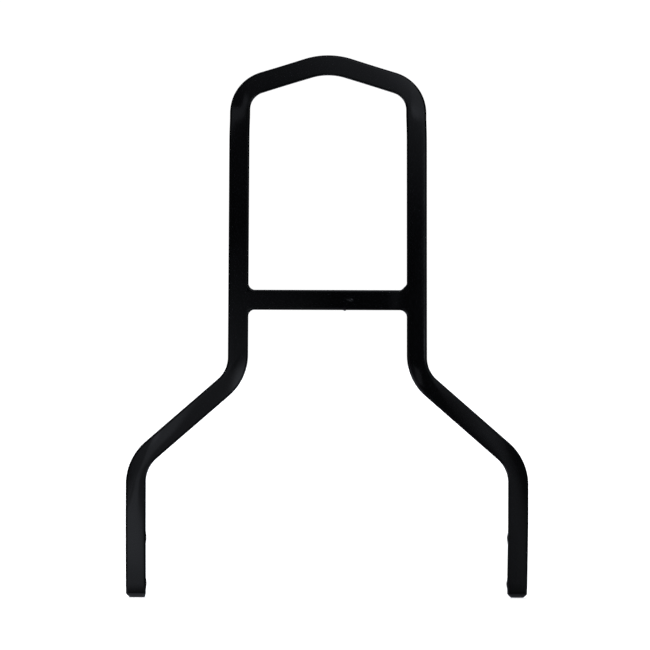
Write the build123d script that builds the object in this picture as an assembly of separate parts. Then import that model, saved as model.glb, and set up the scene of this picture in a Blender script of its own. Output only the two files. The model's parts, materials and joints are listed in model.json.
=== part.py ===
from build123d import *
import os

# Sissy bar: the backrest upright of a motorbike, welded from one bent length of square steel bar and a
# straight cross bar. Millimetres. X runs across the bike, Y from the front face to the back, Z up. The
# origin is midway between the two leg ends, at the middle of the bar's thickness.

# Bar stock
bar = 12.7                  # side of the square section
edge_radius = 1.2           # rounding along the edges of the section

# Centre line of the bent bar, given by the corners between its straight runs
leg_spacing = 249.2         # between the legs
foot_spacing = 116.7        # between the uprights, where they leave the foot bends
shoulder_spacing = 115.4    # between the uprights at the shoulders, which lean in a little
leg_height = 87.2           # corner at the top of each leg
foot_height = 144.8         # corner at the foot of each upright
shoulder_height = 331.0     # corner at each shoulder
apex_height = 348.8         # corner at the middle of the roof

# Inside radius of each bend. The bar draws thinner as it is bent, so the outside radius is larger than
# the inside radius and the bar together.
leg_bend = 20.0
foot_bend = 18.9
shoulder_bend = 11.9
apex_bend = 36.0
bend_draw = 3.6             # what drawing thin adds to each outside radius

# Ground leg ends
tip_bevel = 2.1             # both legs of the bevel round a leg end

# Tapped bolt holes, which run side to side through the legs
lower_hole_height = 8.9
hole_pitch = 30.0
hole_radius = 2.56          # bore at the crests of a quarter-inch coarse thread
lead_in = 0.7               # depth of the lead-in at both mouths, at 45 degrees
rim_radius = 4.6            # foot of the low rim raised round the inner mouth
rim_crest_radius = 3.7
rim_height = 0.45

# Cross bar and the weld round each of its ends
cross_bar_height = 193.8    # middle of the cross bar
weld_bevel = 2.5            # bevel ground on the cross bar's ends for the weld
weld_leg = 3.6              # reach of the weld along the upright and along the cross bar
weld_face_radius = 5.1      # hollow of the weld's face
weld_setback = 0.1          # how far the dressed weld lies below the faces of the bar

UPRIGHT = (Align.CENTER, Align.CENTER, Align.MIN)


def line_beside(corners, distance):
    """Corners of the line that runs beside the given one, a distance to its left."""
    points = [Vector(corner) for corner in corners]
    lefts = [(end - start).normalized().rotate(Axis.Z, 90) for start, end in zip(points, points[1:])]
    turns = zip(points, lefts[:1] + lefts, lefts + lefts[-1:])
    return [point + (before + after) * (distance / (1 + before.dot(after))) for point, before, after in turns]


# Corners of the centre line, up the left leg and down the right one
left_half = [
    (-leg_spacing / 2, 0),
    (-leg_spacing / 2, leg_height),
    (-foot_spacing / 2, foot_height),
    (-shoulder_spacing / 2, shoulder_height),
]
right_half = [(-x, z) for x, z in reversed(left_half)]
centre_line = left_half + [(0, apex_height)] + right_half
outer_line = line_beside(centre_line, bar / 2)
inner_line = line_beside(centre_line, -bar / 2)


def outside(inside_radius):
    """Outside radius of a bend."""
    return inside_radius + bar + bend_draw


def there_and_back(leg, foot, shoulder, apex):
    """Radii of the seven bends in their order along the bar."""
    return [leg, foot, shoulder, apex, shoulder, foot, leg]


def upright_face(height):
    """Distance from the middle of the bar to the inner face of an upright, at a height."""
    foot = inner_line[-3]
    shoulder = inner_line[-4]
    return foot.X + (shoulder.X - foot.X) * (height - foot.Y) / (shoulder.Y - foot.Y)


def front_and_back(solid):
    """Edges that bound the front and back faces of an extruded outline."""
    layers = solid.edges().group_by(Axis.Y)
    return layers[0] + layers[-1]


def bent_bar():
    """The bar bent in one plane, with its edges rounded and its two ends still square."""
    outer_radii = there_and_back(outside(leg_bend), foot_bend, outside(shoulder_bend), outside(apex_bend))
    inner_radii = there_and_back(leg_bend, outside(foot_bend), shoulder_bend, apex_bend)
    radii = [0] + outer_radii + [0, 0] + inner_radii + [0]
    outline = FilletPolyline(*outer_line, *reversed(inner_line), radius=radii, close=True)
    blank = extrude(make_face(Plane.XZ * outline), amount=bar / 2, both=True)
    long_edges = [edge for edge in front_and_back(blank) if edge.center().Z > edge_radius]
    return fillet(long_edges, radius=edge_radius)


def tip_waste(side):
    """What the bevel takes off one leg end."""
    ground = Box(bar, bar, leg_height / 2, align=UPRIGHT)
    ground = chamfer(ground.faces().sort_by(Axis.Z)[0].edges(), length=tip_bevel)
    return Pos(X=side * leg_spacing / 2) * (Box(2 * bar, 2 * bar, tip_bevel, align=UPRIGHT) - ground)


def hole_plane(side, height):
    """Plane at the crest of the rim of one bolt hole, facing from the inner mouth to the outer one."""
    return Plane(origin=(side * ((leg_spacing - bar) / 2 - rim_height), 0, height), z_dir=(side, 0, 0))


def rim(side, height):
    """The rim raised round the inner mouth of a bolt hole."""
    return hole_plane(side, height) * Cone(rim_crest_radius, rim_radius, rim_height, align=UPRIGHT)


def bore(side, height):
    """The bore of a bolt hole, with the lead-in at both mouths."""
    depth = bar + rim_height
    mouth = Cone(hole_radius + lead_in, hole_radius, lead_in, align=UPRIGHT)
    hole = Cylinder(hole_radius, depth, align=UPRIGHT) + mouth + mirror(mouth, Plane.XY.offset(depth / 2))
    return hole_plane(side, height) * hole


def hoop():
    """The bent bar with ground leg ends and two bolt holes in each leg."""
    body = bent_bar()
    for side in (-1, 1):
        body -= tip_waste(side)
        for height in (lower_hole_height, lower_hole_height + hole_pitch):
            body += rim(side, height)
            body -= bore(side, height)
    return body


def cross_bar():
    """The straight bar between the uprights, cut to their lean and bevelled at both ends."""
    top = cross_bar_height + bar / 2
    bottom = cross_bar_height - bar / 2
    ends = [
        (-upright_face(bottom), bottom),
        (upright_face(bottom), bottom),
        (upright_face(top), top),
        (-upright_face(top), top),
    ]
    blank = extrude(make_face(Plane.XZ * Polyline(*ends, close=True)), amount=bar / 2, both=True)
    end_edges = [edge for edge in front_and_back(blank) if abs(edge.center().X) > bar]
    blank = chamfer(end_edges, length=weld_bevel)
    return fillet(blank.edges().filter_by(Axis.X), radius=edge_radius)


def weld(upright_bar, bar_between):
    """The weld round the right end of the cross bar: a ring that fills its bevels and hollows its corners."""
    top = cross_bar_height + bar / 2
    bottom = cross_bar_height - bar / 2
    high_toe = (upright_face(top + weld_leg), top + weld_leg)
    low_toe = (upright_face(bottom - weld_leg), bottom - weld_leg)
    high_heel = (upright_face(top) - weld_leg, top)
    low_heel = (upright_face(bottom) - weld_leg, bottom)
    root = upright_face(cross_bar_height) + bar / 2
    outline = RadiusArc(high_toe, high_heel, weld_face_radius)
    outline += Line(high_heel, low_heel)
    outline += RadiusArc(low_heel, low_toe, weld_face_radius)
    outline += Polyline(low_toe, (root, low_toe[1]), (root, high_toe[1]), high_toe)
    metal = extrude(make_face(Plane.XZ * outline), amount=bar / 2 - weld_setback, both=True)
    return metal - upright_bar - bar_between


bent = hoop()
straight = cross_bar()
right_weld = weld(bent, straight)
pieces = {
    "hoop": bent,
    "cross_bar": straight,
    "weld_right": right_weld,
    "weld_left": mirror(right_weld, Plane.YZ),
}

os.makedirs("parts", exist_ok=True)
for name, piece in pieces.items():
    export_step(piece, f"parts/{name}.step")
    print(name, round(piece.volume, 1), "mm3")
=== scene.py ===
# %% [markdown]
# # A welded sissy bar in gloss black paint
#
# A sissy bar is the upright behind the passenger's seat of a motorbike. This one is two lengths of half-inch
# square steel bar. The first is bent seven times in one plane into a peaked hoop with flared legs, the second
# is welded across it, and the whole weldment is sprayed gloss black.
#
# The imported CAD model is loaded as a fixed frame. Each CAD piece is then replaced by a surface worked out
# with numpy that has the same form, plus what bending, tapping, welding and spraying leave behind. Lengths
# are in metres: X runs across the motorbike, Y from the front face to the back, Z up from the leg ends.

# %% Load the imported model
import json
import math

import bmesh
import bpy
import numpy as np
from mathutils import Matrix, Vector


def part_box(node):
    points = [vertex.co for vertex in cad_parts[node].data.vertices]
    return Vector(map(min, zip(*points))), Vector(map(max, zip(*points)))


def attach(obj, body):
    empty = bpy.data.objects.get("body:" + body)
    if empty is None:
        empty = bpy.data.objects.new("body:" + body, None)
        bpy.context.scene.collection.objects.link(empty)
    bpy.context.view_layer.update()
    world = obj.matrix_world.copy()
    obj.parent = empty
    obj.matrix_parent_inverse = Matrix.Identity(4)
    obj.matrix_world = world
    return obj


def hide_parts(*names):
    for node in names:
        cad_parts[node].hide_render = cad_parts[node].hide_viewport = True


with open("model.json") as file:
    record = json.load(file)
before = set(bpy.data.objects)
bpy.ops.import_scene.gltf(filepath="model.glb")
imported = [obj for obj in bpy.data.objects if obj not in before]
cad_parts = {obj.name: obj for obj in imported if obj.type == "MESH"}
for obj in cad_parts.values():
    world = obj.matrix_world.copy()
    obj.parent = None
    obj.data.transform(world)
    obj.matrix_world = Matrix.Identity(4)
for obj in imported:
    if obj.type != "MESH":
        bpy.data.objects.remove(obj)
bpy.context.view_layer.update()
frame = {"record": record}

# %% [markdown]
# ## Sizes
#
# What the frame can say is read from it: the bar's thickness and the spread of the legs from the hoop's box,
# the level of the cross bar from its own box, and the bolt holes from the mount that they serve. The corners
# of the centre line and the radii of the bends are the values of the CAD source. The paint lies on top of the
# steel as a film of a fifth of a millimetre.

# %% Main sizes
MM = 0.001
hoop_low, hoop_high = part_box("hoop")
cross_low, cross_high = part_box("cross_bar")
mounts = {mount["name"]: mount for mount in frame["record"]["mounts"]}
leg_bolts = mounts["left_leg_bolts"]

bar = hoop_high.y - hoop_low.y
edge_radius = 1.2 * MM
film = 0.2 * MM
leg_spacing = hoop_high.x - hoop_low.x - bar
foot_spacing = 116.7 * MM
shoulder_spacing = 115.4 * MM
leg_height = 87.2 * MM
foot_height = 144.8 * MM
shoulder_height = 331.0 * MM
apex_height = 348.8 * MM
cross_height = (cross_low.z + cross_high.z) / 2

hole_middle = leg_bolts["pos_m"][2]
hole_reach = leg_bolts["dims"]["spacing_y_mm"] * MM / 2
hole_heights = (hole_middle - hole_reach, hole_middle + hole_reach)
hole_radius = leg_bolts["dims"]["hole_r_mm"] * MM
hole_levels = np.round(np.array(hole_heights) / MM, 2)
print("bar", round(bar / MM, 2), "mm, legs", round(leg_spacing / MM, 2), "mm apart")
print("cross bar at", round(cross_height / MM, 2), "mm, bolt holes at", hole_levels, "mm")

# %% [markdown]
# ## The two side lines of the bent bar
#
# Seen from the front, the bar is a strip between an outer line and an inner line. Each line runs beside the
# centre line at half the bar's thickness, and each of its corners is rounded by an arc. A bender's roller
# gives the inside of a bend its radius; the outside draws thin and takes a radius larger than the inside
# radius and the bar together. The two lines are therefore rounded separately, and places at the same share
# of the turn are paired to make the stations of the bar.

# %% Corners and arcs
half_corners = np.array([
    (-leg_spacing / 2, 0),
    (-leg_spacing / 2, leg_height),
    (-foot_spacing / 2, foot_height),
    (-shoulder_spacing / 2, shoulder_height),
    (0, apex_height),
    (shoulder_spacing / 2, shoulder_height),
])
bend_draw = 3.6 * MM
inside_radii = np.array([20.0, 18.9, 11.9, 36.0]) * MM
outside_radii = inside_radii + bar + bend_draw
foot_turns_back = np.array([False, True, False, False])
outer_radii = np.where(foot_turns_back, inside_radii, outside_radii)
inner_radii = np.where(foot_turns_back, outside_radii, inside_radii)


def unit(vectors):
    """Each vector divided by its own length."""
    return vectors / np.linalg.norm(vectors, axis=-1, keepdims=True)


def left_of(vectors):
    """Each vector turned a quarter turn to the left."""
    return np.stack([-vectors[..., 1], vectors[..., 0]], axis=-1)


def line_beside(corners, distance):
    """Corners of the line a distance to the left of the given one.

    A corner moves along the sum of the normals of its two runs, divided by one plus their dot product.
    """
    normals = left_of(unit(np.diff(corners, axis=0)))
    before = np.vstack([normals[:1], normals])
    after = np.vstack([normals, normals[-1:]])
    return corners + distance * (before + after) / (1 + (before * after).sum(axis=1, keepdims=True))


def bend(corners, place, radius, shares):
    """Points of the arc that rounds one corner, and their normals towards the arc's centre.

    The arc starts on the run before the corner, short of it by the radius times the tangent of half the
    turn. A point is the centre less the radius along the first normal, turned by its share of the turn.
    """
    first, second = unit(np.diff(corners[place - 1:place + 2], axis=0))
    turn = math.atan2(first[0] * second[1] - first[1] * second[0], first @ second)
    start = corners[place] - first * radius * math.tan(abs(turn) / 2)
    normal = left_of(first) * math.copysign(1, turn)
    angles = (shares * turn)[:, None]
    normals = normal * np.cos(angles) + left_of(normal) * np.sin(angles)
    return start + radius * normal - radius * normals, normals


outer_corners = line_beside(half_corners, bar / 2)
inner_corners = line_beside(half_corners, -bar / 2)


def upright_face(height):
    """Distance from the middle to an upright's inner face, on the straight line from foot to shoulder."""
    foot, shoulder = inner_corners[2], inner_corners[3]
    return -(foot[0] + (shoulder[0] - foot[0]) * (height - foot[1]) / (shoulder[1] - foot[1]))


inside_widths = 2 * upright_face(np.array([foot_height, shoulder_height]))
print("uprights", np.round(inside_widths / MM, 2), "mm apart inside")

# %% [markdown]
# ## Stations along half of the bar
#
# The bar is the same on both sides, so stations are laid out from the left leg's tip to the apex and
# mirrored. They are close together where the surface has something to show: at the ground tip, in a square
# block round each bolt hole, in the bends, and where the cross bar meets the upright.
#
# The tip is ground to a bevel and then knocked smooth, which a superellipse describes well: an exponent of 1
# would be a plain bevel and 2 a quarter circle. The grinder also dubbed the last nine millimetres of the
# faces, by up to a fifth of a millimetre at the tip.

# %% Stations
block_cells = 10
block_half = 4.6 * MM
block_steps = np.arange(-block_cells, block_cells + 1)
block_places = block_half * block_steps / block_cells

tip_reach = 2.3 * MM
tip_exponent = 1.1
tip_angles = np.linspace(0, math.pi / 2, 11)
tip_insets = tip_reach * (1 - np.sin(tip_angles) ** (2 / tip_exponent))
tip_levels = (tip_reach + film) * (1 - np.cos(tip_angles) ** (2 / tip_exponent)) - film
ground_insets = np.array([5.2, 3.8, 3.0]) * MM
linish_height = 9.0 * MM
linish_depth = 0.225 * MM
linish_exponent = 1.25

plain_height = 55 * MM
lower_block = hole_heights[0] + block_places
upper_block = hole_heights[1] + block_places
beside_tip = tip_reach + np.array([0.1, 0.3, 0.8, 1.4]) * MM
between_blocks = np.linspace(lower_block[-1], upper_block[0], 11)[1:-1]
above_blocks = np.linspace(upper_block[-1], plain_height, 6)[1:]
ground_levels = np.full_like(ground_insets, -film)
leg_levels = np.concatenate([
    ground_levels, tip_levels, beside_tip, lower_block, between_blocks, upper_block, above_blocks,
])
leg_insets = linish_depth * np.clip(1 - leg_levels / linish_height, 0, 1) ** linish_exponent
leg_insets[:len(ground_insets) + len(tip_insets)] += np.concatenate([ground_insets, tip_insets])
lower_rows = len(ground_insets) + len(tip_insets) + len(beside_tip) + np.arange(len(block_steps))
upper_rows = lower_rows + len(block_steps) + len(between_blocks)

bend_shares = np.linspace(0, 1, 33)
apex_shares = np.linspace(0, 0.5, 15)
joint_half = bar / 2 + 5 * MM
run_cells = {"leg": 8, "diagonal": 16, "roof": 12}


def upright_shares():
    """Shares along the upright's inner line, close together beside the cross bar."""
    low = bend(inner_corners, 2, inner_radii[1], bend_shares)[0][-1, 1]
    high = bend(inner_corners, 3, inner_radii[2], bend_shares)[0][0, 1]
    below = np.linspace(low, cross_height - joint_half, 12)
    beside = np.linspace(cross_height - joint_half, cross_height + joint_half, 24)[1:-1]
    above = np.linspace(cross_height + joint_half, high, 36)
    return (np.concatenate([below, beside, above]) - low) / (high - low)


def half_line(corners, radii):
    """One side line from the left tip to the apex: leg levels, then runs and bends in turn."""
    arcs = [bend(corners, place + 1, radii[place], bend_shares)[0] for place in range(3)]
    arcs.append(bend(corners, 4, radii[3], apex_shares)[0])
    leg = np.column_stack([np.full_like(leg_levels, corners[0, 0]), leg_levels])
    shares = [
        np.linspace(0, 1, run_cells["leg"] + 1),
        np.linspace(0, 1, run_cells["diagonal"] + 1),
        upright_shares(),
        np.linspace(0, 1, run_cells["roof"] + 1),
    ]
    starts = [leg[-1], arcs[0][-1], arcs[1][-1], arcs[2][-1]]
    pieces = [leg]
    for start, arc, share in zip(starts, arcs, shares):
        pieces.append(start + (arc[0] - start) * share[1:-1, None])
        pieces.append(arc)
    return np.vstack(pieces)


outer_half = half_line(outer_corners, outer_radii)
inner_half = half_line(inner_corners, inner_radii)
half_insets = np.zeros(len(outer_half))
half_insets[:len(leg_insets)] = leg_insets
print("stations on half of the bar", len(outer_half), "roof reaches", round(outer_half[-1, 1] / MM, 2), "mm")

# %% [markdown]
# ## What bending does to a square bar
#
# On the inside of a bend the metal is pushed together and swells out of the bar's faces; on the outside it
# is drawn and thins. The section turns into a slight keystone, so the front face is tilted away from the
# inside. The clamps of the bender also leave the face a little domed. Both are only a tenth of a millimetre
# high and fade over one or two bar thicknesses, but gloss paint shows them at once: they squeeze the
# reflection of a softbox into the bright streak that runs through each bend.

# %% Relief of the bends
half_middle = (outer_half + inner_half) / 2
half_travel = np.concatenate([[0], np.cumsum(np.linalg.norm(np.diff(half_middle, axis=0), axis=1))])
bend_middles = np.array([
    half_travel[np.argmin(np.linalg.norm(half_middle - corner, axis=1))] for corner in half_corners[1:4]
])
keystone = np.array([0.0985, -0.1215, 0.0653]) * MM
keystone_shift = np.array([-1.1, -13.3, 0.7]) * MM
keystone_fade = np.array([15.5, 27.7, 15.1]) * MM
dome = np.array([0.0851, 0.0707, 0.0324]) * MM
dome_shift = np.array([9.5, -1.7, -3.8]) * MM
dome_fade = np.array([21.4, 25.0, 9.0]) * MM
bend_skew = np.array([-6.6, 5.8, 5.8]) * MM


def bells(travel, lean, shift, fade):
    """One bell curve along the bar for each bend, set over by the skew from side to side of the face."""
    away = (travel[:, None, None] - bend_middles - shift - bend_skew * lean[..., None]) / fade
    return np.exp(-away ** 2)


def bend_relief(travel, lean):
    """Height of the front face over its flat form, by station and place.

    The lean is the place across the bar, from minus one at the inner side to one at the outer side. The
    keystone is minus the lean times a bell curve; the dome is one less the squared lean, times another.
    """
    tilted = (keystone * bells(travel, lean, keystone_shift, keystone_fade)).sum(axis=-1)
    domed = (dome * bells(travel, lean, dome_shift, dome_fade)).sum(axis=-1)
    return (1 - lean ** 2) * domed - lean * tilted


print("bends at", np.round(bend_middles / MM, 1), "mm along the bar")

# %% [markdown]
# ## The section and how it is carried
#
# The section is a square with rounded edges. A place on it is a share of the flat part plus a share of the
# edge radius, so that the flats can change along the bar while the edges keep their radius. The flats have
# an extra place close to each edge. It keeps the smooth shading of the rounded edge from spreading over
# the flat, which would make the paint look soft.

# %% Section
flat_half = bar / 2 + film - edge_radius
edge_margin = 0.12 * MM / flat_half
corner_steps = 10


def with_margins(places):
    """The places along a flat with one more close to each end."""
    return np.concatenate([[edge_margin - 1], places, [1 - edge_margin]])


def rounded_section(side_places, front_places):
    """Four rows of shares round the section: flat across, edge across, flat through, edge through.

    The order is outer side, edge, back, edge, inner side, edge, front, edge. On an edge the two shares of
    the radius are the cosine and the sine of an angle from 0 to 90 degrees.
    """
    angle = np.linspace(0, math.pi / 2, corner_steps + 1)
    cosine, sine = np.cos(angle), np.sin(angle)
    edge, side, front = np.ones_like(angle), np.ones_like(side_places), np.ones_like(front_places)
    return np.array([
        np.concatenate([side, edge, -front_places, -edge, -side, -edge, front_places, edge]),
        np.concatenate([side, cosine, 0 * front, -sine, -side, -cosine, 0 * front, sine]),
        np.concatenate([side_places, edge, front, edge, -side_places, -edge, -front, -edge]),
        np.concatenate([0 * side, sine, front, cosine, 0 * side, -sine, -front, -cosine]),
    ])


def section_places(section, half_across, half_through, radius):
    """Across and through for every station and place: flat share of what the edge leaves, plus the edge."""
    flat_across, edge_across, flat_through, edge_through = section
    across = flat_across * (half_across - radius)[:, None] + edge_across * radius[:, None]
    through = flat_through * (half_through - radius)[:, None] + edge_through * radius[:, None]
    return across, through


def grid_quads(rows, columns):
    """Quads of a grid that is closed round its columns, as an array by row and column."""
    index = np.arange(rows * columns).reshape(rows, columns)
    beside = np.roll(index, -1, axis=1)
    return np.stack([index[:-1], beside[:-1], beside[1:], index[1:]], axis=-1)


hoop_sides = with_margins(block_places / flat_half)
hoop_fronts = with_margins(np.linspace(-0.8, 0.8, 9))
hoop_section = rounded_section(hoop_sides, hoop_fronts)
print("places round the hoop's section", hoop_section.shape[1])

# %% [markdown]
# The hoop is the section carried along the paired stations. The relief of the bends is added to its half
# thickness, and the outside of each bend goes hollow while the inside bulges. Three faults of the work are
# added: the roof is drawn a little thinner between its bends, the uprights give way inward just below the
# shoulders, and the inner corner of the left tip was ground less than the others.

# %% Carry the section along the bar
hollow_depth = np.array([0.08, -0.06, 0.12]) * MM
hollow_fade = 12 * MM
roof_thinning = 0.14 * MM
shoulder_give = 0.35 * MM
give_below = 14 * MM
give_fade = 9 * MM
inner_fill = 0.7
edge_growth = 0.3
edge_limit = 0.9


def smooth_step(values):
    """0 below 0, 1 above 1, and three squares less two cubes between."""
    share = np.clip(values, 0, 1)
    return share * share * (3 - 2 * share)


def mirrored(values):
    """The half's values followed by the same values in reverse, without the apex twice."""
    return np.concatenate([values, values[-2::-1]])


def both_halves(points):
    """The left half's points followed by their mirror images."""
    return np.vstack([points, points[-2::-1] * (-1, 1)])


def carry_hoop():
    """Points of the hoop by station and place."""
    outer, inner = both_halves(outer_half), both_halves(inner_half)
    insets, travel = mirrored(half_insets), mirrored(half_travel)
    half_across = np.linalg.norm(outer - inner, axis=1) / 2
    direction = (outer - inner) / (2 * half_across)[:, None]
    roof_share = np.clip((travel - bend_middles[2]) / (half_travel[-1] - bend_middles[2]), 0, 1)
    thinning = roof_thinning * np.sin(math.pi * roof_share) ** 2
    room = half_across + film - insets - thinning
    radius = np.minimum(edge_radius + edge_growth * insets, edge_limit * room)
    across, through = section_places(hoop_section, room, bar / 2 + film - insets, radius)
    on_left = np.arange(len(outer)) < len(outer_half)
    fill = inner_fill * on_left * insets / room
    across = across * np.where(across < 0, 1 + fill[:, None], 1)
    lean = across / half_across[:, None]
    shape = (1 - (through / (bar / 2 + film)) ** 2) * lean ** 2
    depth = (hollow_depth * bells(travel, 0 * lean, 0, hollow_fade)).sum(axis=-1)
    across = across - depth * shape
    through = through * (1 + bend_relief(travel, lean) / (bar / 2))
    give = shoulder_give * np.exp(-((travel - bend_middles[2] + give_below) / give_fade) ** 2)
    middle = (outer + inner) / 2 - give[:, None] * direction
    level = middle[:, 1:] + across * direction[:, 1:]
    return np.stack([middle[:, :1] + across * direction[:, :1], through, level], axis=-1)


hoop_points = carry_hoop()
hoop_rows, hoop_columns = hoop_points.shape[:2]
print("hoop grid", hoop_rows, "stations by", hoop_columns, "places")

# %% [markdown]
# ## Tapped bolt holes
#
# A drill leaves a burr where it breaks through, and the tap pushes the first turn of thread up after it.
# Under paint that is the low rim round the inner mouth of each hole, which shows as a bump in the outline
# of the legs. It is highest at the front and the back of the mouth, and higher on the right leg.

# %% Hole sizes
mouth_ring = 5
lead_in = 0.7 * MM
mouth_radius = hole_radius + lead_in
rim_crest_radius = 3.7 * MM
rim_radius = 4.6 * MM
rim_heights = {"left": 0.34 * MM, "right": 0.56 * MM}
rim_evenness = 0.25
rim_crown = 2.7 * MM
mouth_dip = 0.5
mouth_ease = 0.3 * MM
thread_pitch = 25.4 / 20 * MM
thread_depth = 0.58 * MM
print("rims rise", round(rim_heights["left"] / MM, 2), "and", round(rim_heights["right"] / MM, 2), "mm")

# %% [markdown]
# To open a hole, a square block of the grid is remapped: its rings become circles near the hole and stay
# squares at the block's border, so the mesh keeps its quads and the block joins the rest of the leg without
# a seam.

# %% Rings round a hole
side_count = len(hoop_sides)
inner_start = side_count + 2 * (corner_steps + 1) + len(hoop_fronts)
outer_columns = np.arange(1, side_count - 1)
inner_columns = inner_start + side_count - 1 - outer_columns


def ring_directions():
    """Ring number and direction of every place of the block, equally spaced round each ring.

    On a ring the angle grows evenly from corner to corner: a quarter of pi times the smaller step over the
    larger one, measured from the nearest axis.
    """
    upward, sideways = np.meshgrid(block_steps, block_steps, indexing="ij")
    tall = np.abs(upward) >= np.abs(sideways)
    larger = np.where(tall, upward, sideways)
    smaller = np.where(tall, sideways, upward)
    angle = math.pi / 4 * smaller / np.where(larger == 0, 1, larger)
    main, minor = np.sign(larger) * np.cos(angle), np.sign(larger) * np.sin(angle)
    return np.abs(larger), np.where(tall, main, minor), np.where(tall, minor, main)


def rim_profile(level, depth):
    """Share of the rim's height at a place over and behind the hole's axis.

    It is full at the crest and falls smoothly to the foot and a little towards the mouth. A bell curve of
    the level makes the rim highest at the front and the back of the mouth.
    """
    distance = np.hypot(level, depth)
    fall = smooth_step((distance - rim_crest_radius) / (rim_radius - rim_crest_radius))
    mouth = smooth_step((rim_crest_radius - distance) / (rim_crest_radius - mouth_radius + mouth_ease))
    crown = rim_evenness + (1 - rim_evenness) * np.exp(-(level / rim_crown) ** 2)
    return crown * (1 - fall) * (1 - mouth_dip * mouth)


def open_block(points, rows, columns, height, rim_rise):
    """Move one block of the grid so that its rings run round the hole, and raise the rim across."""
    place = np.ix_(rows, columns)
    block = points[place]
    ring, up, side = ring_directions()
    share = np.clip((ring - mouth_ring) / (block_cells - mouth_ring), 0, 1)
    radius = mouth_radius + (block_half - mouth_radius) * share
    square = share ** 2
    level = (1 - square) * radius * up + square * (block[..., 2] - height)
    depth = (1 - square) * radius * side + square * block[..., 1]
    rise = rim_rise * rim_profile(level, depth)
    points[place] = np.stack([block[..., 0] + rise, depth, level + height], axis=-1)


print("block of", len(block_steps), "by", len(block_steps), "places, mouth at ring", mouth_ring)

# %% [markdown]
# The cells inside the mouth are taken out and a tube is put between the two mouths. Its wall is the thread, a
# V that winds round once for each pitch. It keeps its own material, because a tapped hole is bare steel under
# a thin mist of paint.

# %% Tapped bore
rings_per_turn = 8
groove_gain = 1.3
groove_floor = 0.15


def mouth_loop(rows, columns):
    """Grid indices round the mouth of a hole, in order."""
    low, high = block_cells - mouth_ring, block_cells + mouth_ring
    out = np.arange(low, high)
    back = np.arange(high, low, -1)
    up = np.concatenate([np.full_like(out, low), out, np.full_like(out, high), back])
    side = np.concatenate([out, np.full_like(out, high), back, np.full_like(out, low)])
    return rows[up] * hoop_columns + columns[side]


def bore_rings(inner_mouth, outer_mouth, height):
    """Rings of the tapped bore between its two mouths.

    The radius is the crest radius plus the larger of the lead-in's 45 degree cone and the thread's V. The V
    follows the distance to the nearest whole turn of depth over pitch plus angle over a full turn, cut flat
    at its crest and its root.
    """
    start, end = inner_mouth[:, 0], outer_mouth[:, 0]
    length = np.abs(end - start).mean()
    count = round(length / thread_pitch * rings_per_turn)
    depth = np.linspace(0, length, count + 2)[1:-1, None]
    angle = np.arctan2(inner_mouth[:, 1], inner_mouth[:, 2] - height)
    turns = depth / thread_pitch + angle / (2 * math.pi)
    groove = np.clip(groove_gain * np.abs(2 * (turns - np.floor(turns)) - 1) - groove_floor, 0, 1)
    cone = np.maximum(lead_in - np.minimum(depth, length - depth), 0)
    radius = hole_radius + np.maximum(cone, thread_depth * groove)
    along = start + (end - start) * depth / length
    return np.stack([along, radius * np.sin(angle), height + radius * np.cos(angle)], axis=-1)


# %% [markdown]
# Both legs have two holes. The right leg's rows are the left leg's, counted from the other end.

# %% Open the four holes
hoop_quads = grid_quads(hoop_rows, hoop_columns)
kept = np.ones(hoop_quads.shape[:2], dtype=bool)
tubes = []
for mirror_leg in (False, True):
    for rows, height in ((lower_rows, hole_heights[0]), (upper_rows, hole_heights[1])):
        leg_rows = hoop_rows - 1 - rows if mirror_leg else rows
        rim_rise = -rim_heights["right"] if mirror_leg else rim_heights["left"]
        open_block(hoop_points, leg_rows, inner_columns, height, rim_rise)
        open_block(hoop_points, leg_rows, outer_columns, height, 0)
        inside = slice(block_cells - mouth_ring, block_cells + mouth_ring)
        cell_rows = np.minimum(leg_rows[:-1], leg_rows[1:])[inside]
        for columns in (inner_columns, outer_columns):
            cell_columns = np.minimum(columns[:-1], columns[1:])[inside]
            kept[np.ix_(cell_rows, cell_columns)] = False
        tubes.append((mouth_loop(leg_rows, inner_columns), mouth_loop(leg_rows, outer_columns), height))
print("cells taken out", int((~kept).sum()), "for", len(tubes), "holes")

# %% [markdown]
# The bender left the ends of both legs leaning in, the right one by half a millimetre and the left one by
# half as much, which is well within what the bolts take up. It is a shift across that grows evenly down to
# the tip. The right leg was also ground a third of a millimetre shorter, below its lower hole.

# %% Lean of the legs
toe_in = {"left": 0.25 * MM, "right": 0.58 * MM}
toe_height = 48 * MM
toe_share = np.clip(1 - hoop_points[..., 2] / toe_height, 0, 1)
on_right = hoop_points[..., 0] > 0
hoop_points[..., 0] += toe_share * np.where(on_right, -toe_in["right"], toe_in["left"])
right_short = 0.33 * MM
short_share = np.clip(1 - hoop_points[..., 2] / lower_block[0], 0, 1)
hoop_points[..., 2] += right_short * on_right * short_share
print("tips moved in by", round(toe_in["left"] / MM, 2), "and", round(toe_in["right"] / MM, 2), "mm")

# %% [markdown]
# ## From arrays to Blender meshes
#
# Every piece goes through one function. It drops points that no face uses, turns all faces outward, shades
# the surface smooth and keeps edges sharper than 40 degrees crisp.

# %% Make a piece
crisp_angle = math.radians(40)


def put_in_scene(name, data):
    """A new object in the scene with the given data."""
    item = bpy.data.objects.new(name, data)
    bpy.context.scene.collection.objects.link(item)
    return item


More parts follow.
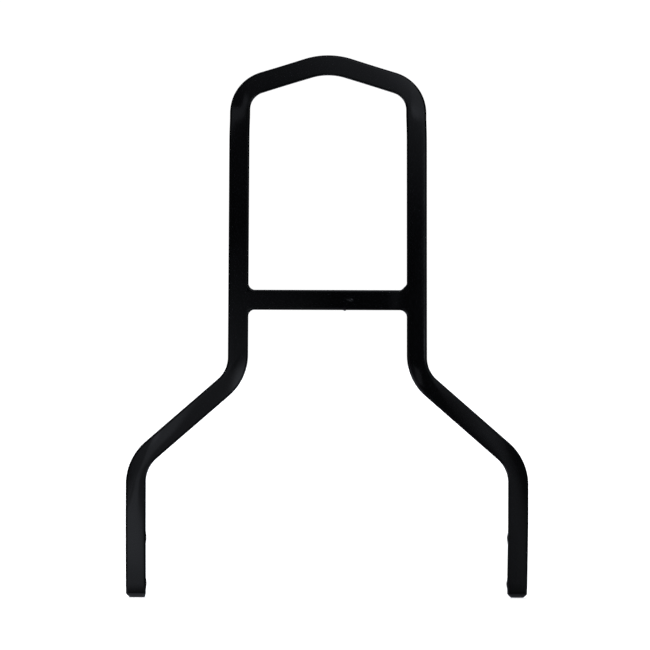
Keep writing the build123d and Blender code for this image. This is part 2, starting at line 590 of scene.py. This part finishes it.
def make_piece(name, points, faces, second_material=None):
    """A mesh object at the origin from points and faces, with the marked faces in the second material."""
    used, flat = np.unique(np.concatenate([np.ravel(face) for face in faces]), return_inverse=True)
    corners = np.cumsum([0] + [len(face) for face in faces])
    numbers = flat.tolist()
    mesh = bpy.data.meshes.new(name)
    mesh.from_pydata(points[used].tolist(), [], [numbers[a:b] for a, b in zip(corners[:-1], corners[1:])])
    if second_material is not None:
        mesh.polygons.foreach_set("material_index", second_material.astype(np.int32))
    work = bmesh.new()
    work.from_mesh(mesh)
    bmesh.ops.recalc_face_normals(work, faces=work.faces)
    open_edges = sum(1 for edge in work.edges if len(edge.link_faces) != 2)
    work.to_mesh(mesh)
    work.free()
    mesh.polygons.foreach_set("use_smooth", np.ones(len(mesh.polygons), dtype=bool))
    mesh.set_sharp_from_angle(angle=crisp_angle)
    mesh.update()
    print(name, len(mesh.vertices), "points,", len(mesh.polygons), "faces,", open_edges, "open edges")
    return put_in_scene(name, mesh)


def hand_over(piece, node):
    """Let the piece stand for its CAD node."""
    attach(piece, "root")
    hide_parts(node)


# %% [markdown]
# ## The hoop
#
# The kept cells of the grid, the four bores and a fan of triangles at each tip make one closed surface.

# %% Hoop
def ring_quads(rings):
    """Quads between each ring of indices and the next, closed round the rings."""
    beside = np.roll(rings, -1, axis=1)
    return np.stack([rings[:-1], beside[:-1], beside[1:], rings[1:]], axis=-1).reshape(-1, 4)


def tip_fan(ring, centre):
    """Triangles from a ring of indices to one centre point."""
    return np.stack([ring, np.roll(ring, -1), np.full_like(ring, centre)], axis=-1)


hoop_all = [hoop_points.reshape(-1, 3)]
painted = hoop_quads[kept].tolist()
threaded = []
count = hoop_rows * hoop_columns
for inner_loop, outer_loop, height in tubes:
    rings = bore_rings(hoop_all[0][inner_loop], hoop_all[0][outer_loop], height)
    numbers = count + np.arange(rings[..., 0].size).reshape(rings.shape[:2])
    threaded += ring_quads(np.vstack([inner_loop, numbers, outer_loop])).tolist()
    hoop_all.append(rings.reshape(-1, 3))
    count += numbers.size
for row in (0, hoop_rows - 1):
    ring = row * hoop_columns + np.arange(hoop_columns)
    hoop_all.append(hoop_all[0][ring].mean(axis=0, keepdims=True))
    painted += tip_fan(ring, count).tolist()
    count += 1
hoop_faces = painted + threaded
in_thread = np.arange(len(hoop_faces)) >= len(painted)
hoop = make_piece("hoop_surface", np.vstack(hoop_all), hoop_faces, in_thread)
hand_over(hoop, "hoop")

# %% [markdown]
# ## The cross bar
#
# The cross bar is the same section carried straight from upright to upright. The dressed weld leaves the
# front and the back of the joint flush. So the bar's ends follow the uprights' lean and go in past their
# rounded edges, and its faces stand proud of theirs by a few thousandths of a millimetre.
#
# Two faults of the spraying are on it. A sag of thick paint lies across the front right of the middle, and
# the paint that ran from it hangs as a drip under the bar. Both are low hills on the surface: a height times
# the exponential of minus the squared distance, stretched along one direction.

# %% Cross bar
joint_reach = 1.06 * edge_radius
joint_proud = 0.006 * MM
sag_place = np.array([14.6, 194.2]) * MM
sag_turn = math.radians(-20)
sag_size = np.array([2.0, 0.8]) * MM
sag_height = 0.082 * MM
drip_across = 11.1 * MM
drip_size = np.array([0.75, 1.6]) * MM
drip_through = -3.2 * MM
drip_height = 0.65 * MM
run_height = 0.03 * MM
run_width = 0.8 * MM
run_onset = 0.25
edge_ease = 0.9 * edge_radius


def hill(first, second):
    """A round hill of height one in two stretched directions."""
    return np.exp(-first ** 2 - second ** 2)


def sprayed_faults(points):
    """The cross bar's points with the sag, the run and the drip added."""
    x, y, z = points[..., 0], points[..., 1], points[..., 2]
    across, up = x - sag_place[0], z - sag_place[1]
    along = (across * math.cos(sag_turn) + up * math.sin(sag_turn)) / sag_size[0]
    over = (up * math.cos(sag_turn) - across * math.sin(sag_turn)) / sag_size[1]
    front = smooth_step((-y - flat_half) / edge_ease)
    fall = np.clip((sag_place[1] - z) / (sag_place[1] - cross_height + bar / 2), 0, 1)
    line = sag_place[0] + (drip_across - sag_place[0]) * fall
    run = np.exp(-((x - line) / run_width) ** 2) * smooth_step(fall / run_onset)
    below = smooth_step((cross_height - flat_half - z) / edge_ease)
    drip = hill((x - drip_across) / drip_size[0], (y - drip_through) / drip_size[1])
    thick = front * (sag_height * hill(along, over) + run_height * run)
    return np.stack([x, y - thick, z - below * drip_height * drip], axis=-1)


cross_sides = with_margins(np.linspace(-0.94, 0.94, 27))
cross_fronts = with_margins(np.linspace(-0.96, 0.96, 41))
cross_section = rounded_section(cross_sides, cross_fronts)
cross_middle_reach = upright_face(cross_height) + joint_reach
fine_from, fine_to = 5 * MM, 21 * MM
cross_stations = np.concatenate([
    np.linspace(-cross_middle_reach, fine_from, 30),
    np.linspace(fine_from, fine_to, 56)[1:],
    np.linspace(fine_to, cross_middle_reach, 18)[1:],
]) / cross_middle_reach


def carry_cross_bar():
    """Points of the cross bar by station and place; a station is a share of the reach at its own level."""
    everywhere = np.full_like(cross_stations, bar / 2 + film)
    radius = np.full_like(cross_stations, edge_radius)
    up, through = section_places(cross_section, everywhere, everywhere + joint_proud, radius)
    level = cross_height + up
    reach = upright_face(level) + joint_reach
    return np.stack([cross_stations[:, None] * reach, through, level], axis=-1)


cross_points = sprayed_faults(carry_cross_bar())
cross_rows, cross_columns = cross_points.shape[:2]
cross_faces = grid_quads(cross_rows, cross_columns).reshape(-1, 4).tolist()
cross_all = [cross_points.reshape(-1, 3)]
for row in (0, cross_rows - 1):
    ring = row * cross_columns + np.arange(cross_columns)
    cross_faces += tip_fan(ring, cross_rows * cross_columns + len(cross_all) - 1).tolist()
    cross_all.append(cross_points[row].mean(axis=0, keepdims=True))
cross_bar = make_piece("cross_bar_surface", np.vstack(cross_all), cross_faces)
hand_over(cross_bar, "cross_bar")

# %% [markdown]
# ## The welds
#
# The cross bar was welded all round and the weld was dressed flush at the front and the back, so only the
# concave corners above and below it show. Each corner is an arc that leaves the cross bar and joins the
# upright without a step. The section carried along it has the same rounded edges as the bars, and it reaches
# down just far enough to cover where the two bars' own rounded edges meet. A welder's passes leave faint
# ripples through the depth, softened by the paint. No two corners are quite alike: the upper right one is
# nearly a straight bevel and the lower right one ran on down the upright.

# %% Welds
weld_radii = {(-1, 1): 4.4 * MM, (-1, -1): 4.0 * MM, (1, 1): 4.9 * MM, (1, -1): 4.8 * MM}
weld_proud = 0.02 * MM
weld_fill = {(-1, 1): 0.0, (-1, -1): 0.0, (1, 1): 0.55 * MM, (1, -1): 0.0}
ripple_pitch = 2.1 * MM
ripple_height = 0.07 * MM
weld_shares = np.linspace(0, 1, 25)
weld_places = np.linspace(-1, 1, 49)
least_facing = 0.02


def weld_corner(side, up):
    """Points of one weld corner by station and place.

    The depth of a station below its surface is the distance back along its normal to the nearer of two
    lines, which lie inside the cross bar and inside the upright by a little more than the edge radius.
    """
    level = cross_height + up * bar / 2
    far = level + up * 4 * bar
    corner = np.array([side * upright_face(level), level])
    corners = np.array([(0, level), corner, (side * upright_face(far), far)])
    surface, normals = bend(corners, 1, weld_radii[side, up], weld_shares)
    into_bar = np.array([0, -up])
    into_upright = left_of(unit(corners[2] - corners[1])) * -side * up
    depths = []
    for inward in (into_bar, into_upright):
        needed = (corner + joint_reach * inward - surface) @ inward
        facing = -normals @ inward
        depths.append(np.where(facing > least_facing, needed / np.maximum(facing, least_facing), np.inf))
    depth = np.minimum(*depths)
    swell = np.sin(math.pi * weld_shares) ** 2
    angle = np.linspace(0, math.pi / 2, corner_steps + 1)
    down = np.concatenate([1 - np.sin(angle), 0 * weld_places[1:-1], 1 - np.cos(angle)]) * edge_radius
    through = np.concatenate([
        -flat_half - edge_radius * np.cos(angle), flat_half * weld_places[1:-1],
        flat_half + edge_radius * np.sin(angle),
    ]) * (1 + weld_proud / (bar / 2))
    ripple = ripple_height * np.cos(2 * math.pi * through / ripple_pitch) * (down == 0)
    lift = film + swell[:, None] * (ripple + weld_fill[side, up]) - down
    lift = np.column_stack([-depth, lift, -depth])
    through = np.concatenate([through[:1], through, through[-1:]])
    return np.stack([
        surface[:, :1] + lift * normals[:, :1],
        np.broadcast_to(through, lift.shape),
        surface[:, 1:] + lift * normals[:, 1:],
    ], axis=-1)


def weld_piece(name, side):
    """The two corners of one weld as one piece."""
    points, faces, count = [], [], 0
    for up in (1, -1):
        grid = weld_corner(side, up)
        rows, columns = grid.shape[:2]
        faces += (count + grid_quads(rows, columns).reshape(-1, 4)).tolist()
        for row in (0, rows - 1):
            faces.append((count + row * columns + np.arange(columns)).tolist())
        points.append(grid.reshape(-1, 3))
        count += rows * columns
    return make_piece(name, np.vstack(points), faces)


weld_left = weld_piece("weld_left_surface", -1)
hand_over(weld_left, "weld_left")
weld_right = weld_piece("weld_right_surface", 1)
hand_over(weld_right, "weld_right")

# %% [markdown]
# ## Effects of the paint
#
# Sprayed gloss enamel is never quite flat: as it dries its surface keeps a fine orange peel of about a
# millimetre and a longer waviness. The film also has places where the gloss is a little duller, from
# polishing and handling. A few helpers build the nodes for this and for the lights.

# %% Node helpers
def new_group(name, inputs, outputs):
    """An empty shader node group with its sockets and its two end nodes."""
    group = bpy.data.node_groups.new(name, "ShaderNodeTree")
    for socket, value in inputs.items():
        item = group.interface.new_socket(socket, in_out="INPUT", socket_type="NodeSocketFloat")
        item.default_value = value
    for socket in outputs:
        group.interface.new_socket(socket, in_out="OUTPUT", socket_type="NodeSocketFloat")
    return group, group.nodes.new("NodeGroupInput"), group.nodes.new("NodeGroupOutput")


def add_node(tree, kind, **settings):
    """A node of one kind with some of its settings."""
    node = tree.nodes.new(kind)
    for key, value in settings.items():
        setattr(node, key, value)
    return node


def combine(tree, operation, *values):
    """One arithmetic step on values that are sockets or plain numbers."""
    node = add_node(tree, "ShaderNodeMath", operation=operation)
    for socket, value in zip(node.inputs, values):
        if isinstance(value, float):
            socket.default_value = value
        else:
            tree.links.new(value, socket)
    return node.outputs[0]


def ramp(tree, value, start, end):
    """A map range node with a smooth step of a value, from zero at the start to one at the end."""
    node = add_node(tree, "ShaderNodeMapRange", interpolation_type="SMOOTHSTEP")
    node.inputs["From Min"].default_value = start
    node.inputs["From Max"].default_value = end
    tree.links.new(value, node.inputs["Value"])
    return node


def noise(tree, scale, detail):
    """A noise texture on object coordinates, with scale in waves per metre."""
    coordinates = add_node(tree, "ShaderNodeTexCoord")
    node = add_node(tree, "ShaderNodeTexNoise")
    node.inputs["Scale"].default_value = scale
    node.inputs["Detail"].default_value = detail
    tree.links.new(coordinates.outputs["Object"], node.inputs["Vector"])
    return node.outputs["Fac"]


# %% [markdown]
# Both effects are node groups, because the bars and the welds use them with different values.

# %% Paint effects
peel_noise = {"scale": 620, "detail": 1.5}
wave_noise = {"scale": 70, "detail": 0.5}
gloss_noise = {"scale": 45, "detail": 4}
gloss_range = (0.35, 0.75)


def orange_peel_group():
    """Height of the paint's surface in metres: fine peel plus a longer wave, each centred on zero."""
    group, given, result = new_group("orange peel", {"Peel": 2e-6, "Wave": 6e-6}, ["Height"])
    heights = []
    for socket, settings in (("Peel", peel_noise), ("Wave", wave_noise)):
        centred = combine(group, "SUBTRACT", noise(group, **settings), 0.5)
        heights.append(combine(group, "MULTIPLY", centred, given.outputs[socket]))
    group.links.new(combine(group, "ADD", *heights), result.inputs["Height"])
    return group


def film_gloss_group():
    """Roughness of the film: a soft pattern of handling between the polished and the dull value."""
    group, given, result = new_group("film gloss", {"Polished": 0.1, "Dull": 0.2}, ["Roughness"])
    spread = ramp(group, noise(group, **gloss_noise), *gloss_range)
    group.links.new(given.outputs["Polished"], spread.inputs["To Min"])
    group.links.new(given.outputs["Dull"], spread.inputs["To Max"])
    group.links.new(spread.outputs["Result"], result.inputs["Roughness"])
    return group


orange_peel = orange_peel_group()
film_gloss = film_gloss_group()
print("groups", orange_peel.name, "and", film_gloss.name)

# %% [markdown]
# ## Materials
#
# The paint is nearly black with a trace of blue and reflects like any varnish, four parts in a hundred seen
# straight on. On the welds it lies thicker and wetter, so its wave is larger. The tapped thread is grey
# steel dulled by oil and overspray.

# %% Paint and thread
paint_black = (0.00085, 0.0009, 0.0011, 1)
paint_ior = 1.5
steel_grey = (0.16, 0.16, 0.165, 1)
steel_roughness = 0.38


def paint(name, peel, wave, polished, dull):
    """Gloss black paint with its own amounts of peel, wave and dullness."""
    material = bpy.data.materials.new(name)
    material.use_nodes = True
    tree = material.node_tree
    shader = tree.nodes["Principled BSDF"]
    shader.inputs["Base Color"].default_value = paint_black
    shader.inputs["IOR"].default_value = paint_ior
    gloss = add_node(tree, "ShaderNodeGroup", node_tree=film_gloss)
    gloss.inputs["Polished"].default_value = polished
    gloss.inputs["Dull"].default_value = dull
    tree.links.new(gloss.outputs["Roughness"], shader.inputs["Roughness"])
    surface = add_node(tree, "ShaderNodeGroup", node_tree=orange_peel)
    surface.inputs["Peel"].default_value = peel
    surface.inputs["Wave"].default_value = wave
    bump = add_node(tree, "ShaderNodeBump")
    bump.inputs["Distance"].default_value = 1.0
    bump.inputs["Strength"].default_value = 1.0
    tree.links.new(surface.outputs["Height"], bump.inputs["Height"])
    tree.links.new(bump.outputs["Normal"], shader.inputs["Normal"])
    return material


def thread_steel():
    """Bare tapped steel, dark with oil and a mist of paint."""
    material = bpy.data.materials.new("tapped thread")
    material.use_nodes = True
    shader = material.node_tree.nodes["Principled BSDF"]
    shader.inputs["Base Color"].default_value = steel_grey
    shader.inputs["Metallic"].default_value = 1.0
    shader.inputs["Roughness"].default_value = steel_roughness
    return material


bar_paint = paint("gloss black paint", peel=0.9e-6, wave=4e-6, polished=0.02, dull=0.03)
weld_paint = paint("gloss black paint on the welds", peel=3e-6, wave=14e-6, polished=0.04, dull=0.07)
hoop.data.materials.append(bar_paint)
hoop.data.materials.append(thread_steel())
cross_bar.data.materials.append(bar_paint)
weld_left.data.materials.append(weld_paint)
weld_right.data.materials.append(weld_paint)
print("materials", [material.name for material in (bar_paint, weld_paint)])

# %% [markdown]
# ## Floor and surroundings
#
# The bar stands on a plain white floor in front of white. The camera sees the floor as white with a soft
# shadow. The paint doesn't see the floor, so that the lights of the next cells can stand below it.

# %% Floor
floor_white = 0.60
floor_paper = (0.9, 0.9, 0.9, 1)
floor_half = 40.0
floor_level = -film - 0.2 * MM
pure_white = (1, 1, 1, 1)


def emission(tree, color):
    """A glow of one colour."""
    node = add_node(tree, "ShaderNodeEmission")
    node.inputs["Color"].default_value = color
    return node


def empty_material(name):
    """A material without nodes, its node tree and its output."""
    material = bpy.data.materials.new(name)
    material.use_nodes = True
    material.node_tree.nodes.clear()
    return material, material.node_tree, add_node(material.node_tree, "ShaderNodeOutputMaterial")


def add_shaders(tree, first, second, output):
    """The sum of two shaders, taken to the output."""
    both = add_node(tree, "ShaderNodeAddShader")
    tree.links.new(first.outputs[0], both.inputs[0])
    tree.links.new(second.outputs[0], both.inputs[1])
    tree.links.new(both.outputs[0], output.inputs["Surface"])


def floor_material():
    """White paper that takes a soft shadow and glows enough to stay white."""
    material, tree, output = empty_material("white floor")
    lit = add_node(tree, "ShaderNodeBsdfDiffuse")
    lit.inputs["Color"].default_value = floor_paper
    glow = emission(tree, pure_white)
    glow.inputs["Strength"].default_value = floor_white
    add_shaders(tree, lit, glow, output)
    return material


floor_mesh = bpy.data.meshes.new("floor")
floor_corners = np.array([(-1, -1, 0), (1, -1, 0), (1, 1, 0), (-1, 1, 0)]) * floor_half + (0, 0, floor_level)
floor_mesh.from_pydata(floor_corners.tolist(), [], [(0, 1, 2, 3)])
floor_mesh.materials.append(floor_material())
floor = put_in_scene("floor", floor_mesh)
floor.visible_glossy = False
print("floor at", round(floor_level / MM, 2), "mm")

# %% [markdown]
# The camera sees white all round. For the paint the room is almost dark in front, where the softboxes hang.
# It brightens towards the ceiling, most of all behind, and low down behind and at both sides, so that the
# other faces of the bar show some light too. Each of these is a smooth step of a part of the direction.

# %% World
level_glow = 0.024
ceiling_glow = 0.10
back_glow = 0.70
floor_glow = 0.30
camera_glow = 1.05
cool_white = (0.845, 0.893, 1.0, 1)
back_range = (-0.15, 0.35)
high_range = (0.1, 1.0)
low_range = (-0.04, -0.5)
aside_range = (0.0, 0.15)
aside_slope = 1.1


def room_glow(tree):
    """Strength of the room by direction.

    It is the level, plus the ceiling's share of height, plus the floor's share of depth. The ceiling is
    stronger behind. The floor counts behind, or where the direction lies more aside than down.
    """
    direction = add_node(tree, "ShaderNodeTexCoord")
    split = add_node(tree, "ShaderNodeSeparateXYZ")
    tree.links.new(direction.outputs["Generated"], split.inputs[0])
    x, y, z = split.outputs
    back = ramp(tree, y, *back_range).outputs["Result"]
    high = ramp(tree, z, *high_range).outputs["Result"]
    low = ramp(tree, z, *low_range).outputs["Result"]
    slope = combine(tree, "MULTIPLY_ADD", z, aside_slope, combine(tree, "ABSOLUTE", x))
    aside = ramp(tree, slope, *aside_range).outputs["Result"]
    ceiling = combine(tree, "MULTIPLY_ADD", back, back_glow, ceiling_glow)
    bounced = combine(tree, "MULTIPLY", combine(tree, "MAXIMUM", back, aside), floor_glow)
    glow = combine(tree, "MULTIPLY_ADD", ceiling, high, level_glow)
    return combine(tree, "MULTIPLY_ADD", bounced, low, glow)


world = bpy.data.worlds.new("white studio")
bpy.context.scene.world = world
world.use_nodes = True
tree = world.node_tree
tree.nodes.clear()
seen_by_paint = add_node(tree, "ShaderNodeBackground")
seen_by_paint.inputs["Color"].default_value = cool_white
tree.links.new(room_glow(tree), seen_by_paint.inputs["Strength"])
seen_by_camera = add_node(tree, "ShaderNodeBackground")
seen_by_camera.inputs["Color"].default_value = pure_white
seen_by_camera.inputs["Strength"].default_value = camera_glow
path = add_node(tree, "ShaderNodeLightPath")
mix = add_node(tree, "ShaderNodeMixShader")
output = add_node(tree, "ShaderNodeOutputWorld")
tree.links.new(path.outputs["Is Camera Ray"], mix.inputs[0])
tree.links.new(seen_by_paint.outputs[0], mix.inputs[1])
tree.links.new(seen_by_camera.outputs[0], mix.inputs[2])
tree.links.new(mix.outputs[0], output.inputs["Surface"])
print("room glow from", level_glow, "in front to", round(level_glow + ceiling_glow + back_glow, 3), "above")

# %% [markdown]
# ## Soft lights
#
# Each softbox is a glowing card with soft edges: a logistic curve along each of its two sides. The camera
# doesn't see it, and it lets light through, so that softboxes can overlap.

# %% Soft edges
edge_width = 0.22
glow_reach = 1.1


def soft_edges_group():
    """Share of a glow at a place of a softbox whose half sizes are one in its own coordinates.

    For each side it is one over one plus the exponential of the sharpness times the distance outside the
    box, and the two are multiplied.
    """
    group, given, result = new_group("soft edges", {"Wide": 4.0, "Tall": 4.0}, ["Share"])
    coordinates = add_node(group, "ShaderNodeTexCoord")
    split = add_node(group, "ShaderNodeSeparateXYZ")
    group.links.new(coordinates.outputs["Object"], split.inputs[0])
    sides = []
    for axis, side in (("X", "Wide"), ("Z", "Tall")):
        outside = combine(group, "SUBTRACT", combine(group, "ABSOLUTE", split.outputs[axis]), 1.0)
        sharp = combine(group, "MULTIPLY", outside, given.outputs[side])
        sides.append(combine(group, "ADD", combine(group, "EXPONENT", sharp), 1.0))
    share = combine(group, "DIVIDE", 1.0, combine(group, "MULTIPLY", *sides))
    group.links.new(share, result.inputs["Share"])
    return group


soft_edges = soft_edges_group()


def softbox_material(name, half, soft, strength):
    """The glow of a softbox, added to a clear card."""
    material, tree, output = empty_material(name)
    share = add_node(tree, "ShaderNodeGroup", node_tree=soft_edges)
    share.inputs["Wide"].default_value = half[0] / (edge_width * soft[0])
    share.inputs["Tall"].default_value = half[1] / (edge_width * soft[1])
    glow = emission(tree, cool_white)
    tree.links.new(combine(tree, "MULTIPLY", share.outputs["Share"], strength), glow.inputs["Strength"])
    add_shaders(tree, glow, add_node(tree, "ShaderNodeBsdfTransparent"), output)
    return material


def softbox(name, place, half, soft, strength, rotation):
    """A softbox at a place, with its half sizes and softness in millimetres.

    The card reaches past its half sizes by a little more than the softness, where the glow is spent.
    """
    half, soft = np.array(half) * MM, np.array(soft) * MM
    x, z = (half + glow_reach * soft) / half
    mesh = bpy.data.meshes.new(name)
    mesh.from_pydata([(-x, 0, -z), (-x, 0, z), (x, 0, z), (x, 0, -z)], [], [(0, 1, 2, 3)])
    mesh.materials.append(softbox_material(name, half, soft, strength))
    box = put_in_scene(name, mesh)
    box.location = place
    box.scale = (half[0], 1, half[1])
    box.rotation_euler = rotation
    box.visible_camera = False
    box.visible_shadow = False


# %% [markdown]
# The front faces all lie in one plane, so they are a mirror cut into a thin line, and what shows in them is
# a picture of the room in front. The softboxes hang in a plane 0.8 m in front of the bar, a few millimetres
# behind one another. A large one low on the left ends in a sharp edge that crosses the left leg, a tall one
# on the right lights the right leg, and one above fades down over the roof and the shoulders. The smaller
# ones are only seen by the tilted faces of the bends and by the right end of the cross bar.
#
# The table gives the place of each softbox across and up, its half sizes and the softness of its edges in
# millimetres, its turn in degrees and its strength.

# %% Softboxes in front
front_distance = 0.80
front_gain = 1.25
box_gap = 4 * MM
front_boxes = {
    "left leg": ((-206.7, -5.5), (56.9, 77.0), (29.0, 4.0), -82.9, 0.293),
    "left diagonal": ((-68.4, 69.6), (75.5, 81.6), (17.4, 4.4), -97.4, 0.150),
    "right leg": ((133.9, 52.0), (12.1, 114.9), (70.1, 35.0), 12.7, 0.195),
    "roof": ((90.2, 480.0), (101.3, 83.0), (27.2, 160.0), -33.2, 0.975),
    "left bend": ((-132.5, 128.8), (76.6, 36.4), (83.6, 11.2), 42.0, 0.205),
    "right upright": ((109.7, 231.0), (37.9, 91.9), (3.4, 52.2), 0.4, 0.660),
    "left shoulder": ((-102.9, 231.4), (6.0, 127.6), (5.2, 8.7), -16.3, 0.168),
    "left foot": ((-6.2, 91.0), (22.2, 45.7), (22.0, 82.9), 14.2, 0.577),
    "right foot": ((33.9, 121.6), (6.6, 17.4), (5.3, 8.1), -12.1, 0.139),
    "cross bar end": ((49.3, 195.6), (3.0, 14.0), (6.0, 8.0), 0.0, 0.055),
}


def facing_bar(turn):
    """Rotation of a softbox that stands upright, turned in its own plane by an angle in degrees."""
    return (0, -math.radians(turn), 0)


for number, (name, (middle, half, soft, turn, strength)) in enumerate(front_boxes.items()):
    place = (middle[0] * MM, -bar / 2 - front_distance - number * box_gap, middle[1] * MM)
    softbox(name, place, half, soft, front_gain * strength, facing_bar(turn))
print(len(front_boxes), "softboxes in front")

# %% [markdown]
# A white card lies below each leg end and lights the bevels of the tips. The left one is brighter.

# %% Cards below the tips
card_half = (20, 230)
card_soft = (10, 40)
card_ahead = 210 * MM
card_drop = 40 * MM
for name, side, strength in (("left card", -1, 0.46), ("right card", 1, 0.22)):
    place = (side * leg_spacing / 2, -card_ahead, -card_drop)
    softbox(name, place, card_half, card_soft, strength, (math.pi / 2, 0, 0))
print("cards", round(card_drop / MM), "mm below the tips")

# %% [markdown]
# From the sides and from behind the paint shows another part of the room. Large softboxes stand behind and
# low at both sides in front, out of the mirror's view when it is seen straight on. Their places are given in
# millimetres across, from front to back and up.

# %% Softboxes for the other sides
other_boxes = {
    "behind": ((-130, 810, 0), (130, 170), (70, 90), 14, 1.10),
    "behind left": ((-860, 810, -140), (230, 120), (90, 90), 10, 0.95),
    "behind right": ((860, 810, -140), (230, 120), (90, 90), -10, 1.25),
    "front low left": ((-620, -850, -180), (200, 100), (80, 80), -12, 1.25),
    "front low right": ((620, -850, -180), (200, 100), (80, 80), 12, 0.95),
}
for name, (place, half, soft, turn, strength) in other_boxes.items():
    softbox(name, np.array(place) * MM, half, soft, strength, facing_bar(turn))
print(len(other_boxes), "softboxes for the other sides")

# %% [markdown]
# A wide sun overhead throws the soft shadow on the floor. It is kept out of the reflections in the paint.

# %% Sun
sun_data = bpy.data.lights.new("overhead sun", "SUN")
sun_data.angle = math.radians(40)
sun_data.energy = 1.9
sun = put_in_scene("overhead sun", sun_data)
sun.rotation_euler = (math.radians(14), math.radians(-10), 0)
sun.visible_glossy = False
print("sun", sun_data.energy)

# %% [markdown]
# ## Camera
#
# The silhouettes of the legs, the uprights and the cross bar are equally wide in the picture, so it was taken
# from far away with a long lens, level and straight on. The hoop takes up five sixths of the frame's height
# and leans to the right by a sixth of a degree.

# %% Camera
picture_width = 423.3 * MM
picture_middle = np.array([-1.66, 177.5]) * MM
picture_lean = -0.003
lens = 600
sensor = 36

camera_data = bpy.data.cameras.new("camera")
camera_data.lens = lens
camera_data.sensor_width = sensor
camera_data.clip_end = 200
camera = put_in_scene("camera", camera_data)
distance = picture_width * lens / sensor
camera.location = (picture_middle[0], -bar / 2 - distance, picture_middle[1])
camera.rotation_euler = (math.pi / 2, picture_lean, 0)
bpy.context.scene.camera = camera
bpy.context.scene.view_settings.view_transform = "Standard"
print("camera", round(distance, 3), "m in front of the bar")
